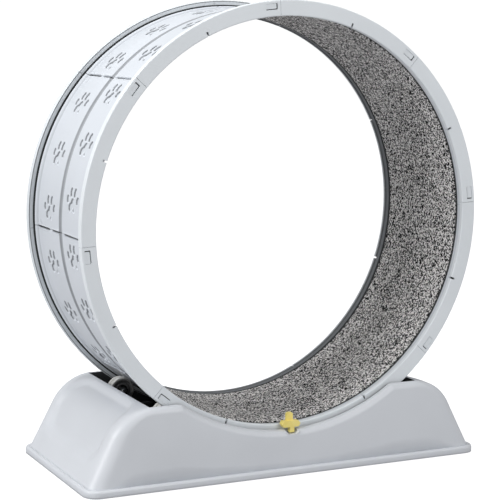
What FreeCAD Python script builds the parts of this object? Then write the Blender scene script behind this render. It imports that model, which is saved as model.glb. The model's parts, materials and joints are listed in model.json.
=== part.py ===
import FreeCAD, Part
import math
import os
import Sketcher

from FreeCAD import Placement, Rotation, Vector

# A cat exercise wheel. Millimetres; +Z is up, +X runs along the base and -Y is the front. The origin
# is on the floor under the middle of the base. Angles round the drum count clockwise from its top,
# seen from the front, which is the right-hand turn about +Y.

doc = FreeCAD.newDocument("cat_exercise_wheel")
sheet = doc.addObject("Spreadsheet::Sheet", "Sizes")

SIZES = {
    # blocks that are joined
    "reach": (0.5, "how far one joined block reaches into the next"),
    # drum
    "axle_height": (461.5, "height of the drum's axis over the floor"),
    "drum_radius": (400.0, "outside of the rims"),
    "drum_half_width": (146.5, "middle of the drum to a rim's face"),
    "segment_angle": (45.0, "one of eight segments"),
    "joint_gap": (0.09, "open angle between two segments"),
    # track panel
    "track_radius": (385.0, "outer face of the panels, on which the rollers run"),
    "track_half_width": (121.0, "middle of the panel to its sloping edge strip"),
    "track_wall": (5.0, "thickness of the panel's floor"),
    "groove_depth": (4.0, "groove round the middle of the track"),
    "groove_half_width": (9.0, "half of that groove's width"),
    "bead_height": (1.7, "rise of the floor inside, under the groove"),
    "strip_rise": (4.5, "rise of the edge strip"),
    "strip_width": (9.0, "width of the edge strip"),
    "strip_wall": (3.0, "thickness of the edge strip and the shoulder"),
    "strip_back": (1.4, "the edge strip's inner corner, under the track's outer face"),
    "shoulder_radius": (373.5, "inner face of the shoulder beside the mat"),
    "shoulder_start": (121.6, "middle to the shoulder's near side"),
    "shoulder_end": (138.0, "middle to the shoulder's far edge"),
    "lug_height": (3.0, "snap lugs on the shoulder"),
    "lug_width": (1.2, "snap lugs along the drum's axis"),
    "lug_angle": (3.2, "length of a lug round the drum"),
    "lug_step": (14.0, "angle between two lugs"),
    "tongue_start": (30.0, "middle to the near side of a panel's tongue"),
    "tongue_end": (100.0, "middle to the far side of a panel's tongue"),
    "tongue_angle": (1.6, "reach of the tongue under the next panel"),
    "tongue_wall": (2.3, "thickness of the tongue"),
    "tongue_play": (0.2, "play over the tongue, and angle at its end"),
    "panel_start": (-2.8, "angle at which the first panel starts"),
    # rim
    "rim_wall": (3.0, "thickness of the rim's walls"),
    "rim_width": (13.0, "the rim along the drum's axis"),
    "rim_inner_radius": (371.5, "inner lip of the rim"),
    "lip_width": (8.0, "inner lip along the drum's axis"),
    "rim_seat": (0.15, "play between the rim's foot and the panel's shoulder"),
    "face_round": (2.0, "rounding of the rim's face along its outer and inner edges"),
    "back_round": (1.0, "rounding of the rim's outer back edge"),
    "rim_start": (-3.6, "angle at which the first rim segment starts"),
    "window_radius": (389.0, "middle of a latch window"),
    "window_height": (11.0, "latch window across the rim"),
    "window_angle": (3.5, "latch window round the rim"),
    "window_back": (2.6, "middle of the window to the joint"),
    "window_corner": (1.6, "corners of the window"),
    "latch_margin": (2.0, "latch tongue past the window, above and below"),
    "latch_end": (1.2, "angle by which the tongue passes the window's end"),
    "latch_root_angle": (1.7, "angle of the tongue's root behind the face"),
    "latch_play": (0.3, "play of a latch tongue at its window's outer side"),
    "latch_gap": (1.5, "gap at the window's inner side"),
    "latch_gap_angle": (0.28, "gap at the window's end by the joint"),
    "latch_recess": (1.3, "latch tongue's face under the rim's face"),
    "slit_angle": (0.53, "slit at the middle of each rim segment"),
    "slit_height": (8.5, "depth of that slit from the lip"),
    # mat
    "mat_half_width": (120.0, "middle of the drum to the mat's edge"),
    "backing_thickness": (3.6, "foam backing of the mat"),
    "pile_thickness": (4.0, "carpet pile of the mat"),
    "mat_play": (0.1, "between the mat and the panels"),
    "bead_play": (0.6, "mat's hollow past the bead, along the axis"),
    # rollers
    "roller_angle": (33.55, "roller's place, from straight below the drum's axis"),
    "roller_radius": (24.0, "outside of the tyre"),
    "roller_half_width": (11.0, "half of the roller's width"),
    "roller_offset": (109.0, "middle of the drum to the middle of a roller"),
    "roller_gap": (0.3, "clearance between tyre and track"),
    "tyre_inner_radius": (20.0, "inside of the tyre"),
    "tread_groove": (1.6, "depth of the groove round the middle of the tread"),
    "tread_groove_half": (0.9, "half width of that groove at its bottom"),
    "tyre_edge": (1.6, "chamfer along the tyre's edges"),
    "hub_play": (0.05, "between the hub and the tyre"),
    "hub_inset": (0.6, "hub's rim under the roller's face"),
    "hub_rim": (2.0, "hub's rim, across"),
    "hub_web_inset": (2.0, "hub's web under the roller's face"),
    "hub_slope": (1.0, "slope from the hub's rim to its web"),
    "boss_inset": (0.3, "hub's middle boss under the roller's face"),
    "boss_wall": (2.0, "wall of the hub's middle boss"),
    "boss_foot": (2.6, "foot of that wall"),
    "bearing_radius": (11.0, "608 bearing, outside"),
    "bearing_bore": (4.0, "608 bearing, radius of the bore"),
    "bearing_width": (7.0, "608 bearing, width"),
    "bearing_inset": (1.0, "bearing's face under the roller's face"),
    "outer_ring_wall": (1.8, "outer ring"),
    "inner_ring_wall": (1.9, "inner ring"),
    "ring_fit": (0.01, "between the outer ring and the hub"),
    "shield_inset": (0.4, "shield under the bearing's face"),
    "shield_wall": (0.5, "thickness of the shield"),
    "shield_play": (0.15, "between the shield and the inner ring"),
    "spacer_wall": (2.2, "sleeve between a bearing and the carrier's ear"),
    "shaft_play": (0.02, "radial play of the axle bolt in the bearing"),
    "nut_height": (6.5, "axle nut"),
    "nut_half_flats": (6.5, "half of the nut's width across flats"),
    "bolt_end": (2.0, "axle bolt past its nut"),
    "bolt_chamfer": (0.6, "chamfer at the bolt's end"),
    "bolt_head_rise": (4.0, "countersunk head of the bolt, along and across"),
    "bolt_head_inset": (0.2, "bolt's head under the ear's face"),
    # carriers
    "ear_start": (124.0, "middle of the drum to a carrier's ear"),
    "ear_wall": (7.0, "thickness of the ear"),
    "ear_round": (13.0, "rounded head of the ear"),
    "carrier_half_length": (27.0, "half of the carrier's foot along X"),
    "carrier_wall": (4.0, "thickness of the carrier's foot"),
    "ear_shoulder": (6.0, "foot of an ear, in from the carrier's end"),
    "screw_reach": (80.0, "carrier screws from the drum's middle plane"),
    "screw_radius": (2.4, "carrier screw's shank"),
    "screw_length": (14.0, "carrier screw under its head"),
    "screw_head_radius": (4.5, "carrier screw's head"),
    "screw_head_height": (2.6, "carrier screw's head"),
    "screw_head_chamfer": (1.1, "chamfer of that head"),
    "screw_point": (3.0, "pointed end of the screw"),
    "screw_play": (0.3, "radial play of the screw in the carrier"),
    # base
    "floor_gap": (1.5, "rim of the base over the floor, on its rubber feet"),
    "base_wall": (3.0, "thickness of the base's walls"),
    "flange_half_length": (400.5, "flange round the foot, along X"),
    "flange_half_depth": (180.5, "flange round the foot, along Y"),
    "flange_corner": (27.0, "flange's corner in plan"),
    "flange_top": (14.5, "top of the flange"),
    "flange_edge": (4.5, "rounding of the flange's upper edge"),
    "crown_x": (331.0, "sharp corner of end slope and crown, along X"),
    "crown_height": (137.5, "sharp corner of end slope and crown"),
    "end_slope": (63.1, "end slope against the floor"),
    "crown_slope": (10.8, "crown against the floor"),
    "crown_round": (92.0, "rounding between end slope and crown"),
    "level_start": (274.0, "where the crown levels off beside the drum, along X"),
    "level_bend": (60.0, "rounding of that bend"),
    "lip_round": (16.0, "rounding between the level lip and the saddle"),
    "saddle_radius": (379.5, "saddle under the rims, about the drum's axis"),
    "side_depth_low": (173.5, "front wall at the floor"),
    "side_depth_high": (165.2, "front wall at the draft height"),
    "draft_height": (160.0, "height of the drafted block"),
    "clear_height": (200.0, "height of the spaces cut from above"),
    "corner_round": (26.0, "upright corners of the hump"),
    "edge_round": (12.0, "upper edges of the hump along the saddle"),
    "well_half_depth": (152.0, "well for the drum, along Y"),
    "well_radius": (410.0, "well under the drum, about its axis"),
    "well_half_length": (274.0, "opening of the well, along X"),
    "pocket_start": (150.0, "where the well turns into a roller pocket"),
    "pocket_floor": (80.0, "floor of the roller pockets"),
    "dish_start": (286.0, "upper end of an end dish, along X"),
    "dish_half_depth": (124.0, "end dish, along Y"),
    "dish_depth": (8.0, "end dish under the slope"),
    "dish_ramp_x": (381.0, "lower end of the dish where it runs out"),
    "dish_ramp_height": (42.0, "height at which the dish runs out"),
    "dish_ramp_slope": (34.0, "slope of the run-out"),
    "dish_corner": (32.0, "corners of the dish"),
    "boss_radius": (7.0, "screw bosses under the pocket floors"),
    "boss_depth": (16.0, "screw bosses under the pocket floors"),
    "boss_end": (2.0, "closed end of the screw bosses"),
    "notch_half_width": (12.0, "notch in the front lip for the lock key"),
    "notch_x": (3.0, "middle of the notch and the key, along X"),
    "notch_bottom": (75.0, "lowest point of the notch"),
    "notch_corner": (4.5, "cut-off corners of the notch"),
    "notch_block_half": (18.0, "solid block round the notch"),
    # feet
    "foot_x": (345.0, "foot posts, along X"),
    "foot_y": (143.0, "foot posts, along Y"),
    "post_radius": (14.0, "foot post"),
    "post_bore": (10.0, "bore of the foot post"),
    "pad_radius": (12.5, "rubber pad"),
    "pad_height": (3.0, "rubber pad"),
    "pad_play": (0.2, "round the rubber pad, in its seat"),
    "post_hollow": (45.0, "height of the post's bore"),
    # lock key
    "key_bar_half": (18.0, "bar of the lock key, along X"),
    "key_bar_height": (11.0, "bar of the lock key"),
    "key_bar_bottom": (87.0, "underside of the bar"),
    "key_back": (149.0, "back of the key, from the drum's middle plane"),
    "key_bar_depth": (14.0, "bar of the lock key, along Y"),
    "key_grip_half": (6.5, "grip over the bar, along X"),
    "key_grip_height": (15.0, "grip over the bar"),
    "key_grip_depth": (6.0, "grip along Y"),
    "key_corner": (3.0, "cut-off corners of the bar and the grip"),
    "key_peg_x": (2.0, "middle of the peg, from the middle of the notch"),
    "key_peg_gap": (2.0, "under the peg, in the notch"),
    "key_peg_half": (4.5, "peg in the notch, along X"),
    "key_peg_back": (153.0, "back of the peg"),
    "key_peg_depth": (9.0, "peg along Y"),
}

for row, (alias, (value, meaning)) in enumerate(SIZES.items(), 1):
    sheet.set(f"A{row}", alias)
    sheet.set(f"B{row}", str(value))
    sheet.set(f"C{row}", meaning)
    sheet.setAlias(f"B{row}", alias)
doc.recompute()


class Size:
    """A length or angle that knows its number now and the sheet formula that gives it."""

    def __init__(self, value, formula=None):
        self.value = value
        self.formula = formula or repr(float(value))

    def _joined(self, sign, other, turned=False):
        other = other if isinstance(other, Size) else Size(other)
        left, right = (other, self) if turned else (self, other)
        value = {"+": left.value + right.value, "-": left.value - right.value,
                 "*": left.value * right.value}.get(sign)
        if value is None:
            value = left.value / right.value
        return Size(value, f"({left.formula} {sign} {right.formula})")

    def __add__(self, other):
        return self._joined("+", other)

    def __radd__(self, other):
        return self._joined("+", other, True)

    def __sub__(self, other):
        return self._joined("-", other)

    def __rsub__(self, other):
        return self._joined("-", other, True)

    def __mul__(self, other):
        return self._joined("*", other)

    def __rmul__(self, other):
        return self._joined("*", other, True)

    def __truediv__(self, other):
        return self._joined("/", other)

    def __neg__(self):
        return Size(-self.value, f"(0 - {self.formula})")


def sine(angle):
    return Size(math.sin(math.radians(angle.value)), f"sin({angle.formula})")


def cosine(angle):
    return Size(math.cos(math.radians(angle.value)), f"cos({angle.formula})")


def tangent(angle):
    return Size(math.tan(math.radians(angle.value)), f"tan({angle.formula})")


class Sheet:
    """Gives each size of the sheet by its name."""

    def __getattr__(self, alias):
        return Size(SIZES[alias][0], f"Sizes.{alias}")


S = Sheet()


def bind(thing, prop, size):
    """Bind a property to a size of the sheet."""
    thing.setExpression(prop, size.formula if isinstance(size, Size) else repr(float(size)))


def draw(sketch, loops):
    """Closed polygons in a sketch, each corner held by its bound distances from the sketch's origin."""
    for corners in loops:
        points = [tuple(c if isinstance(c, Size) else Size(c) for c in corner) for corner in corners]
        first = sketch.GeometryCount
        count = len(points)
        places = [Vector(u.value, v.value, 0) for u, v in points]
        for i in range(count):
            sketch.addGeometry(Part.LineSegment(places[i], places[(i + 1) % count]), False)
        for i in range(count):
            sketch.addConstraint(Sketcher.Constraint("Coincident", first + i, 2, first + (i + 1) % count, 1))
        for i, corner in enumerate(points):
            for kind, size in zip(("DistanceX", "DistanceY"), corner):
                held = sketch.addConstraint(Sketcher.Constraint(kind, -1, 1, first + i, 1, size.value))
                if "Sizes" in size.formula:
                    bind(sketch, f"Constraints[{held}]", size)


def both_sides(corners):
    """A half outline from the middle outwards, and its mirror image, as one closed outline."""
    middle = [c for c in corners if value_of(c[0]) == 0]
    side = [c for c in corners if value_of(c[0]) != 0]
    other = [(-c[0], c[1]) for c in reversed(side)]
    return [[middle[0]] + side + middle[1:] + other]


def value_of(size):
    return size.value if isinstance(size, Size) else size


def new_body(name):
    body = doc.addObject("PartDesign::Body", name)
    body.Label = name
    return body


def origin_plane(body, role):
    return next(f for f in body.Origin.OriginFeatures if f.Role == role)


def turned(body, name, loops, span=360.0, middle=0.0, cut=False):
    """Turn outlines of (along the axis, radius) about the Y axis, over span degrees round middle."""
    sketch = body.newObject("Sketcher::SketchObject", name + "_outline")
    sketch.AttachmentSupport = [(origin_plane(body, "YZ_Plane"), "")]
    sketch.MapMode = "FlatFace"
    sketch.AttachmentOffset = Placement(Vector(), Rotation(Vector(1, 0, 0), 1.0))
    bind(sketch, "AttachmentOffset.Rotation.Angle", middle)
    draw(sketch, loops)
    feature = body.newObject("PartDesign::Groove" if cut else "PartDesign::Revolution", name)
    feature.Profile = sketch
    feature.ReferenceAxis = (sketch, ["H_Axis"])
    feature.Midplane = True
    bind(feature, "Angle", span)
    body.Tip = feature


def padded(body, name, role, loops, length, offset=0.0):
    """Extrude outlines on one of the body's own planes, over length from offset along its normal."""
    sketch = body.newObject("Sketcher::SketchObject", name + "_outline")
    sketch.AttachmentSupport = [(origin_plane(body, role), "")]
    sketch.MapMode = "FlatFace"
    bind(sketch, "AttachmentOffset.Base.z", offset)
    draw(sketch, loops)
    feature = body.newObject("PartDesign::Pad", name)
    feature.Profile = sketch
    bind(feature, "Length", length)
    body.Tip = feature


def softened(body, name, radius, chosen):
    """Round the edges of the body that chosen(edge) picks."""
    doc.recompute()
    solid = body.Tip
    feature = body.newObject("PartDesign::Fillet", name)
    feature.Base = (solid, [f"Edge{i}" for i, edge in enumerate(solid.Shape.Edges, 1) if chosen(edge)])
    bind(feature, "Radius", radius)
    body.Tip = feature


def primitive(kind, name, place=(0, 0, 0), turn=None, **sizes):
    """A Part primitive with every size and its place bound to the sheet."""
    thing = doc.addObject(kind, name)
    for prop, size in sizes.items():
        bind(thing, prop, size)
    if turn:
        thing.Placement = Placement(Vector(), turn)
    for axis, size in zip("xyz", place):
        bind(thing, f"Placement.Base.{axis}", size)
    return thing


def joined(kind, name, base, tool):
    """Part::Cut, Part::Fuse or Part::Common of two objects."""
    result = doc.addObject(kind, name)
    result.Base = base
    result.Tool = tool
    return result


def all_fused(name, things):
    result = doc.addObject("Part::MultiFuse", name)
    result.Shapes = things
    return result


def rounded(name, base, radii):
    """Part::Fillet; radii gives an edge's radius at its two ends, or None where it stays sharp."""
    doc.recompute()
    result = doc.addObject("Part::Fillet", name)
    result.Base = base
    chosen = []
    for number, edge in enumerate(base.Shape.Edges, 1):
        ends = radii(edge)
        if ends:
            chosen.append((number, value_of(ends[0]), value_of(ends[1])))
    result.Edges = chosen
    return result


def mirrored(name, source, normal):
    """The mirror image of an object in the plane through the origin square to normal."""
    image = doc.addObject("Part::Mirroring", name)
    image.Source = source
    image.Base = Vector()
    image.Normal = normal
    return image


def grouped(name, things, place=None):
    """Several solids, or one solid at another place, as one sub-part."""
    group = doc.addObject("Part::Compound", name)
    group.Links = things
    group.Label = name
    if place:
        group.Placement = place
    return group


X = Vector(1, 0, 0)
Y = Vector(0, 1, 0)
subparts = []


# ---- drum: track panels ----
# One panel is 45 degrees of the running surface: a floor with a groove round its middle, a sloping
# strip along each edge, a shoulder that holds the mat's edge, and snap lugs that the rims clip on.

floor_radius = S.track_radius - S.track_wall
shoulder_top = S.shoulder_radius + S.strip_wall
strip_end = S.track_half_width + S.strip_width
strip_top = S.track_radius + S.strip_rise
shoulder_side = S.shoulder_start + S.strip_wall

panel = new_body("panel_master")
turned(panel, "panel_wall", both_sides([
    (Size(0), S.track_radius - S.groove_depth),
    (S.groove_half_width, S.track_radius),
    (S.track_half_width, S.track_radius),
    (strip_end, strip_top),
    (strip_end, strip_top - S.strip_wall),
    (shoulder_side, S.track_radius - S.strip_back),
    (shoulder_side, shoulder_top),
    (S.shoulder_end, shoulder_top),
    (S.shoulder_end, S.shoulder_radius),
    (S.shoulder_start, S.shoulder_radius),
    (S.shoulder_start, floor_radius),
    (S.groove_half_width, floor_radius),
    (Size(0), floor_radius - S.bead_height),
]), S.segment_angle - S.joint_gap, S.segment_angle / 2)


def two_strips(start, end, low, high):
    """One rectangle of the section on each side of the drum's middle."""
    near = [(start, low), (end, low), (end, high), (start, high)]
    return [near, [(-u, v) for u, v in near]]


for number, place in enumerate((-1, 0, 1), 1):
    turned(panel, f"snap_lugs_{number}",
           two_strips(S.shoulder_end - S.lug_width, S.shoulder_end, shoulder_top - S.reach,
                      shoulder_top + S.lug_height),
           S.lug_angle, S.segment_angle / 2 + place * S.lug_step)
turned(panel, "joint_tongue",
       two_strips(S.tongue_start, S.tongue_end, floor_radius, floor_radius + S.tongue_wall),
       S.tongue_angle * 2, S.segment_angle)
turned(panel, "joint_recess",
       two_strips(S.tongue_start - S.reach, S.tongue_end + S.reach, floor_radius - S.reach,
                  floor_radius + S.tongue_wall + S.tongue_play),
       (S.tongue_angle + S.tongue_play) * 2, Size(0), cut=True)

# ---- drum: rims ----
# A rim segment is a channel that clips over the shoulders of the panels. Its end reaches behind the
# next segment with a latch tongue, whose face shows in that segment's window.

rim_back = S.drum_half_width - S.rim_width
face_back = S.drum_half_width - S.rim_wall
rim_foot = shoulder_top + S.rim_seat
lip_start = S.drum_half_width - S.lip_width
window_low = S.window_radius - S.window_height / 2
window_high = S.window_radius + S.window_height / 2
latch_back = face_back - S.rim_wall
latch_low = window_low - S.latch_margin
latch_high = window_high + S.latch_margin
past_face = S.drum_half_width + S.reach


def front(corners):
    """A section of the front rim: its places along the axis count from the middle towards the front."""
    return [[(-u, v) for u, v in corners]]


rim = new_body("rim_master")
turned(rim, "rim_channel", front([
    (lip_start, S.rim_inner_radius),
    (S.drum_half_width, S.rim_inner_radius),
    (S.drum_half_width, S.drum_radius),
    (rim_back, S.drum_radius),
    (rim_back, rim_foot),
    (rim_back + S.rim_wall, rim_foot),
    (rim_back + S.rim_wall, S.drum_radius - S.rim_wall),
    (face_back, S.drum_radius - S.rim_wall),
    (face_back, S.rim_inner_radius + S.rim_wall),
    (lip_start, S.rim_inner_radius + S.rim_wall),
]), S.segment_angle - S.joint_gap, S.segment_angle / 2)


def arc_at(edge, y, radius):
    """Whether an edge is an arc about the drum's axis with that place along it and that radius."""
    curve = edge.Curve
    return (curve.TypeId == "Part::GeomCircle" and abs(curve.Center.y - y.value) < 0.01
            and abs(curve.Radius - radius.value) < 0.01)


softened(rim, "face_rounds", S.face_round, lambda edge: (
    arc_at(edge, -S.drum_half_width, S.drum_radius) or arc_at(edge, -S.drum_half_width, S.rim_inner_radius)))
softened(rim, "back_rounds", S.back_round, lambda edge: arc_at(edge, -rim_back, S.drum_radius))
turned(rim, "latch_window", front([
    (face_back - S.reach, window_low), (past_face, window_low),
    (past_face, window_high), (face_back - S.reach, window_high),
]), S.window_angle, S.segment_angle - S.window_back, cut=True)


def corner_of(edge, angle, low, high):
    """Whether a short edge through the rim's face is at a corner of the window or face at that angle."""
    place = edge.CenterOfMass
    radius = math.hypot(place.x, place.z)
    around = abs(math.degrees(math.atan2(place.x, place.z)) - angle.value)
    across = abs(edge.tangentAt(edge.FirstParameter).y) > 0.99
    return (across and around < S.window_angle.value
            and min(abs(radius - low.value), abs(radius - high.value)) < 0.01)


softened(rim, "window_rounds", S.window_corner, lambda edge: (
    corner_of(edge, S.segment_angle - S.window_back, window_low, window_high)))
turned(rim, "middle_slit", front([
    (lip_start - S.reach, S.rim_inner_radius - S.reach), (past_face, S.rim_inner_radius - S.reach),
    (past_face, S.rim_inner_radius + S.slit_height),
    (lip_start - S.reach, S.rim_inner_radius + S.slit_height),
]), S.slit_angle, S.segment_angle / 2, cut=True)
turned(rim, "latch_root", front([
    (latch_back, latch_low), (face_back + S.reach, latch_low),
    (face_back + S.reach, latch_high), (latch_back, latch_high),
]), S.latch_root_angle - S.joint_gap, (S.latch_root_angle + S.joint_gap) / 2)
latch_reach = S.window_back + S.window_angle / 2 + S.latch_end
turned(rim, "latch_tongue", front([
    (latch_back, latch_low), (face_back - S.rim_seat, latch_low),
    (face_back - S.rim_seat, latch_high), (latch_back, latch_high),
]), latch_reach + S.reach, (S.reach - latch_reach) / 2)
turned(rim, "latch_face", front([
    (face_back - S.reach, window_low + S.latch_gap),
    (S.drum_half_width - S.latch_recess, window_low + S.latch_gap),
    (S.drum_half_width - S.latch_recess, window_high - S.latch_play),
    (face_back - S.reach, window_high - S.latch_play),
]), S.window_angle - S.joint_gap - S.latch_gap_angle, -S.window_back - S.latch_gap_angle / 2)
softened(rim, "latch_rounds", S.window_corner, lambda edge: (
    corner_of(edge, -S.window_back, window_low + S.latch_gap, window_high - S.latch_play)))

# ---- drum: mat ----
# A speckled carpet pile on a foam backing, laid round the inside between the shoulders.

backing_radius = floor_radius - S.backing_thickness
pile_radius = backing_radius - S.pile_thickness
mat_outside = floor_radius - S.mat_play
bead_side = S.groove_half_width + S.bead_play
mat_backing = new_body("mat_backing")
turned(mat_backing, "backing_ring", both_sides([
    (Size(0), mat_outside - S.bead_height),
    (bead_side, mat_outside),
    (S.mat_half_width, mat_outside),
    (S.mat_half_width, backing_radius),
    (Size(0), backing_radius),
]))
mat_pile = new_body("mat_pile")
turned(mat_pile, "pile_ring", [[
    (-S.mat_half_width, pile_radius), (S.mat_half_width, pile_radius),
    (S.mat_half_width, backing_radius), (-S.mat_half_width, backing_radius),
]])

axle_height = SIZES["axle_height"][0]
segment_angle = SIZES["segment_angle"][0]


def on_axle(angle, flip=False):
    """Placement that puts a drum piece on the drum's axis, turned by angle from the top."""
    turn = Rotation(Y, angle)
    if flip:
        turn = turn.multiply(Rotation(Vector(0, 0, 1), 180))
    return Placement(Vector(0, 0, axle_height), turn)


for k in range(8):
    panel_angle = SIZES["panel_start"][0] + segment_angle * k
    rim_angle = SIZES["rim_start"][0] + segment_angle * k
    subparts.append(grouped(f"track_panel_{k + 1}", [panel], on_axle(panel_angle)))
    subparts.append(grouped(f"front_rim_{k + 1}", [rim], on_axle(rim_angle)))
    subparts.append(grouped(f"rear_rim_{k + 1}", [rim], on_axle(rim_angle + segment_angle, True)))
for mat in (mat_backing, mat_pile):
    bind(mat, "Placement.Base.z", S.axle_height)
    subparts.append(mat)

# ---- rollers ----
# Four rollers carry the drum: a ribbed tyre on a plastic hub, with a ball bearing pressed in from
# each side. The inner rings stand still on the axle bolt.

roller_reach = S.track_radius + S.roller_gap + S.roller_radius
roller_x = roller_reach * sine(S.roller_angle)
roller_z = S.axle_height - roller_reach * cosine(S.roller_angle)
bearing_face = S.roller_half_width - S.bearing_inset
bearing_back = bearing_face - S.bearing_width


def at_roller(body):
    """Put a body, made about its own origin, where the front left roller turns."""
    bind(body, "Placement.Base.x", -roller_x)
    bind(body, "Placement.Base.y", -S.roller_offset)
    bind(body, "Placement.Base.z", roller_z)
    return body


tyre = at_roller(new_body("tyre_master"))
turned(tyre, "tread", both_sides([
    (Size(0), S.roller_radius - S.tread_groove),
    (S.tread_groove_half, S.roller_radius - S.tread_groove),
    (S.tread_groove_half + S.tread_groove / 3, S.roller_radius),
    (S.roller_half_width - S.tyre_edge, S.roller_radius),
    (S.roller_half_width, S.roller_radius - S.tyre_edge),
    (S.roller_half_width, S.tyre_inner_radius),
    (Size(0), S.tyre_inner_radius),
]))
hub_outside = S.tyre_inner_radius - S.hub_play
hub_web = S.roller_half_width - S.hub_web_inset
hub_boss = S.roller_half_width - S.boss_inset
hub = at_roller(new_body("hub_master"))
turned(hub, "hub_disc", both_sides([
    (Size(0), hub_outside), (S.roller_half_width - S.hub_inset, hub_outside),
    (S.roller_half_width - S.hub_inset, S.tyre_inner_radius - S.hub_rim),
    (hub_web, S.tyre_inner_radius - S.hub_rim - S.hub_slope),
    (hub_web, S.bearing_radius + S.boss_foot), (hub_boss, S.bearing_radius + S.boss_wall),
    (hub_boss, S.bearing_radius), (bearing_back, S.bearing_radius),
    (bearing_back, S.bearing_radius - S.outer_ring_wall), (Size(0), S.bearing_radius - S.outer_ring_wall),
]))


def ring_pair(name, low, high, shield=None):
    """One ring of both bearings of a roller; a shield is a thin plate from the outer ring inwards."""
    body = at_roller(new_body(name))
    near = [(bearing_back, low), (bearing_back, high), (bearing_face, high), (bearing_face, low)]
    if shield is not None:
        outside, inside = S.shield_inset, S.shield_inset + S.shield_wall
        near += [(bearing_face - outside, low), (bearing_face - outside, shield),
                 (bearing_face - inside, shield), (bearing_face - inside, low),
                 (bearing_back + inside, low), (bearing_back + inside, shield),
                 (bearing_back + outside, shield), (bearing_back + outside, low)]
    turned(body, name + "_front", [near])
    image = mirrored(name + "_back", body, Y)
    bind(image, "Base.y", -S.roller_offset)
    return grouped(name + "s", [body, image])


outer_rings = ring_pair("outer_ring", S.bearing_radius - S.outer_ring_wall, S.bearing_radius - S.ring_fit,
                        S.bearing_bore + S.inner_ring_wall + S.shield_play)
inner_rings = ring_pair("inner_ring", S.bearing_bore, S.bearing_bore + S.inner_ring_wall)

spacer_start = bearing_face
spacer_end = S.ear_start - S.roller_offset
spacer = at_roller(new_body("spacer_master"))
turned(spacer, "sleeve", [[
    (-spacer_end, S.bearing_bore), (-spacer_start, S.bearing_bore),
    (-spacer_start, S.bearing_bore + S.spacer_wall), (-spacer_end, S.bearing_bore + S.spacer_wall),
]])
shaft_radius = S.bearing_bore - S.shaft_play
bolt_head = spacer_end + S.ear_wall - S.bolt_head_inset
bolt_tip = bearing_face + S.nut_height + S.bolt_end
bolt = at_roller(new_body("bolt_master"))
turned(bolt, "shank_and_head", [[
    (bolt_tip, Size(0)), (bolt_tip, shaft_radius - S.bolt_chamfer), (bolt_tip - S.bolt_chamfer, shaft_radius),
    (-(bolt_head - S.bolt_head_rise), shaft_radius), (-bolt_head, shaft_radius + S.bolt_head_rise),
    (-bolt_head, Size(0)),
]])
hex_corner = S.nut_half_flats / cosine(Size(30.0))
nut = at_roller(new_body("nut_master"))
padded(nut, "hexagon", "XZ_Plane", [[
    (hex_corner, Size(0)), (hex_corner / 2, S.nut_half_flats), (-hex_corner / 2, S.nut_half_flats),
    (-hex_corner, Size(0)), (-hex_corner / 2, -S.nut_half_flats), (hex_corner / 2, -S.nut_half_flats),
]], S.nut_height, -(bearing_face + S.nut_height))
nut_face = bearing_face + S.nut_height + S.reach
turned(nut, "nut_bore", [[
    (bearing_face - S.reach, Size(0)), (nut_face, Size(0)),
    (nut_face, S.bearing_bore), (bearing_face - S.reach, S.bearing_bore),
]], cut=True)


def four_places(master):
    """The master at the front left and its images at the other three rollers, by name."""
    right = mirrored(master.Name + "_front_right", master, X)
    return {
        "front_left": master,
        "front_right": right,
        "rear_left": mirrored(master.Name + "_rear_left", master, Y),
        "rear_right": mirrored(master.Name + "_rear_right", right, Y),
    }


for master, piece in ((tyre, "tyre"), (hub, "hub"), (outer_rings, "bearings")):
    for place, source in four_places(master).items():
        subparts.append(grouped(f"roller_{place}_{piece}", [source]))
for master, node in ((inner_rings, "bearing_inner_rings"), (spacer, "axle_spacers"),
                     (bolt, "axle_bolts"), (nut, "axle_nuts")):
    subparts.append(grouped(node, list(four_places(master).values())))

# ---- roller carriers ----
# A black bracket in each end of the well: a foot along the pocket floor and an ear at each end,
# with a countersunk hole for the axle bolt.

carrier_top = S.pocket_floor + S.carrier_wall
ear_end = S.ear_start + S.ear_wall
carrier = new_body("carrier_master")
bind(carrier, "Placement.Base.x", -roller_x)
padded(carrier, "foot", "XY_Plane", [[
    (-S.carrier_half_length, -ear_end), (S.carrier_half_length, -ear_end),
    (S.carrier_half_length, ear_end), (-S.carrier_half_length, ear_end),
]], S.carrier_wall, S.pocket_floor)
ear_foot = S.carrier_half_length - S.ear_shoulder
for side, start in (("rear", -ear_end), ("front", S.ear_start)):
    padded(carrier, f"{side}_ear", "XZ_Plane", [[
        (-ear_foot, carrier_top - S.reach), (ear_foot, carrier_top - S.reach),
        (S.ear_round, roller_z), (-S.ear_round, roller_z),
    ]], S.ear_wall, start)
heads = [primitive("Part::Cylinder", f"{side}_ear_head", (-roller_x, start, roller_z), Rotation(X, -90),
                   Radius=S.ear_round, Height=S.ear_wall)
         for side, start in (("front", -ear_end), ("rear", S.ear_start))]
carrier_hole = primitive("Part::Cylinder", "axle_hole", (-roller_x, -ear_end - S.reach, roller_z),
                         Rotation(X, -90), Radius=S.bearing_bore, Height=(ear_end + S.reach) * 2)
sink = S.bolt_head_rise + S.bolt_head_inset
countersink = primitive("Part::Cone", "countersink", (-roller_x, -ear_end, roller_z), Rotation(X, -90),
                        Radius1=S.bearing_bore + sink, Radius2=S.bearing_bore, Height=sink)
cutters = [carrier_hole, countersink, mirrored("rear_countersink", countersink, Y)]
screw_top = carrier_top + S.screw_head_height
for side, sign in (("front", -1), ("rear", 1)):
    cutters.append(primitive("Part::Cylinder", f"{side}_screw_hole", (-roller_x, S.screw_reach * sign,
                             S.pocket_floor - S.reach), Radius=S.screw_radius + S.screw_play,
                             Height=S.carrier_wall + S.reach * 2))
carrier_left = joined("Part::Cut", "roller_carrier_left", all_fused("carrier_solid", [carrier] + heads),
                      all_fused("carrier_holes", cutters))
carrier_right = grouped("roller_carrier_right", [mirrored("carrier_image", carrier_left, X)])
subparts += [carrier_left, carrier_right]

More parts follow.
